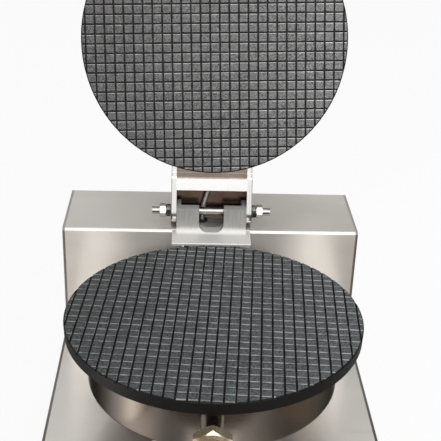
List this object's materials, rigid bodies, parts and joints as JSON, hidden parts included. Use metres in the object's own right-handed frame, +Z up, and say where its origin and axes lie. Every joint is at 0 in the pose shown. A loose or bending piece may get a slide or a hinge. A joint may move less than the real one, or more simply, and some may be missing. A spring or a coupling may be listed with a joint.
{
  "type": "waffle cone maker",
  "caption": "Bench-top electric waffle cone maker: a stainless base with a raised rear tower, and a grooved round griddle plate under a hinged, handled twin that closes on it.",
  "frame": {"origin": "on the table, under the middle of the object with its lid open", "axes": "+X to the right of a person at its front, +Y to the back, +Z up"},
  "size_m": [0.24, 0.4449, 0.5724],
  "materials": {
    "panel_steel": "brushed",
    "pan_steel": "satin",
    "plate_coat": "satin dark non-stick coat",
    "hinge_casting": "matte as cast",
    "arm_steel": "bright",
    "fastener": "bright zinc",
    "stem_steel": "turned",
    "hex_brass": "turned",
    "heater_sheath": "heat-darkened",
    "fibre": "soft fibre",
    "ceramic": "unglazed",
    "lead_braid": "silvery braid",
    "copper": "bare",
    "rubber": "matte",
    "grip": "satin",
    "knob": "satin",
    "control_case": "matte",
    "switch_case": "satin",
    "rocker": "gloss",
    "power_lens": "clear red",
    "heat_lens": "clear amber"
  },
  "bodies": {
    "base": {"bottom_tray": "panel_steel", "cable_gland": "control_case", "cover_screws": "fastener", "deck_panel": "panel_steel", "foot_screws": "fastener", "front_panel": "panel_steel", "gland_lock_nut": "control_case", "heat_lamp": "heat_lens", "hinge_base": "hinge_casting", "hinge_base_screws": "fastener", "hinge_lock_nuts": "fastener", "hinge_nuts": "fastener", "hinge_rod": "fastener", "left_side_panel": "panel_steel", "lid_lead": "lead_braid", "lower_connector": "ceramic", "lower_heater": "heater_sheath", "lower_heater_clamp": "pan_steel", "lower_hex_plug": "hex_brass", "lower_insulation": "fibre", "lower_lead": "lead_braid", "lower_neck": "stem_steel", "lower_pan": "pan_steel", "lower_plate": "plate_coat", "lower_tie_nuts": "fastener", "lower_tie_rods": "fastener", "pan_spacers": "pan_steel", "power_lamp": "power_lens", "rear_cover": "panel_steel", "right_side_panel": "panel_steel", "rubber_feet": "rubber", "switch_housing": "switch_case", "terminal_block": "ceramic", "thermostat_body": "control_case", "thermostat_probe": "copper", "timer_body": "control_case", "tower_cover": "panel_steel", "tower_grommet": "rubber", "wire_conduit": "pan_steel"},
    "lid": {"upper_plate": "plate_coat", "upper_pan": "pan_steel", "upper_heater": "heater_sheath", "upper_heater_clamp": "pan_steel", "upper_insulation": "fibre", "upper_connector": "ceramic", "upper_tie_rods": "fastener", "upper_dome_nuts": "fastener", "upper_neck": "stem_steel", "handle_lock_nut": "hex_brass", "handle_rod": "fastener", "handle_grip": "grip", "hinge_arm": "arm_steel", "arm_screws": "fastener", "arm_backing_block": "arm_steel", "pan_grommet": "rubber"},
    "thermostat_dial": {"thermostat_shaft": "fastener", "thermostat_knob": "knob"},
    "timer_dial": {"timer_shaft": "fastener", "timer_knob": "knob"},
    "rocker": {"power_rocker": "rocker"}
  },
  "joints": [
    {"name": "lid_hinge", "type": "hinge", "parent": "base", "child": "lid", "pos_m": [0, 0.0945, 0.2148], "axis": [1, 0, 0], "range_deg": [0, 106.66], "deforming": ["lid_lead"]},
    {"name": "thermostat_turn", "type": "hinge", "parent": "base", "child": "thermostat_dial", "pos_m": [0.062, -0.2, 0.073], "axis": [0, 1, 0], "range_deg": [0, 270]},
    {"name": "timer_turn", "type": "hinge", "parent": "base", "child": "timer_dial", "pos_m": [-0.062, -0.2, 0.073], "axis": [0, 1, 0], "range_deg": [0, 300]},
    {"name": "power_rock", "type": "hinge", "parent": "base", "child": "rocker", "pos_m": [0, -0.1965, 0.063], "axis": [1, 0, 0], "range_deg": [0, 16]}
  ]
}
